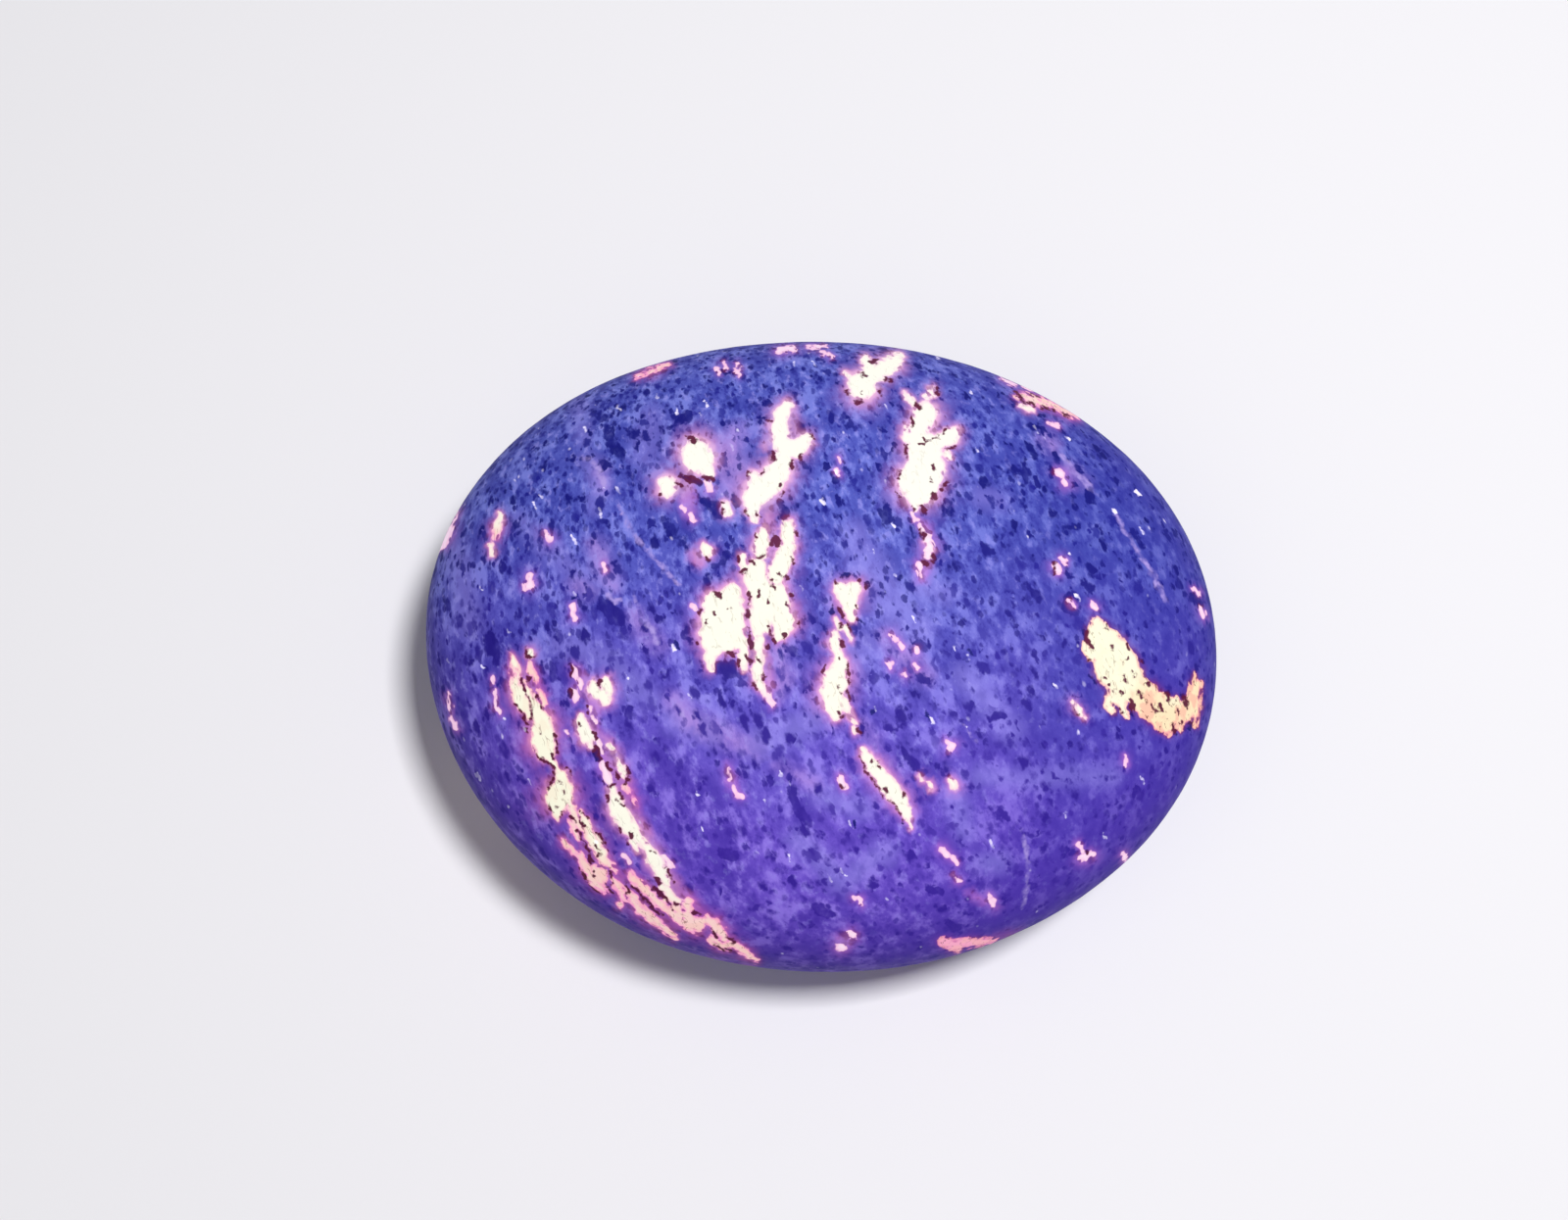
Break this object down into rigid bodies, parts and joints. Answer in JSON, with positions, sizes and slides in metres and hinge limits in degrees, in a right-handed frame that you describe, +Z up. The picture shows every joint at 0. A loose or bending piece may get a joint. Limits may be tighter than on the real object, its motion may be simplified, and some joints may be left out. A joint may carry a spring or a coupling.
{
  "type": "tumbled sodalite palm stone",
  "caption": "Smooth oval palm stone, blue-violet rock peppered with dark grains and crossed by glowing cream and orange sodalite patches, resting on a small flat spot.",
  "frame": {"origin": "under the middle of the stone's plan, on the surface that the stone lies on", "axes": "+Z up, +X along the stone's long axis, +Y across it"},
  "size_m": [0.0598, 0.0484, 0.0217],
  "materials": {
    "stone": "satin, tumbled smooth; blue-violet with dark grains and cream to orange sodalite patches"
  },
  "bodies": {
    "root": {"stone": "stone"}
  },
  "joints": []
}
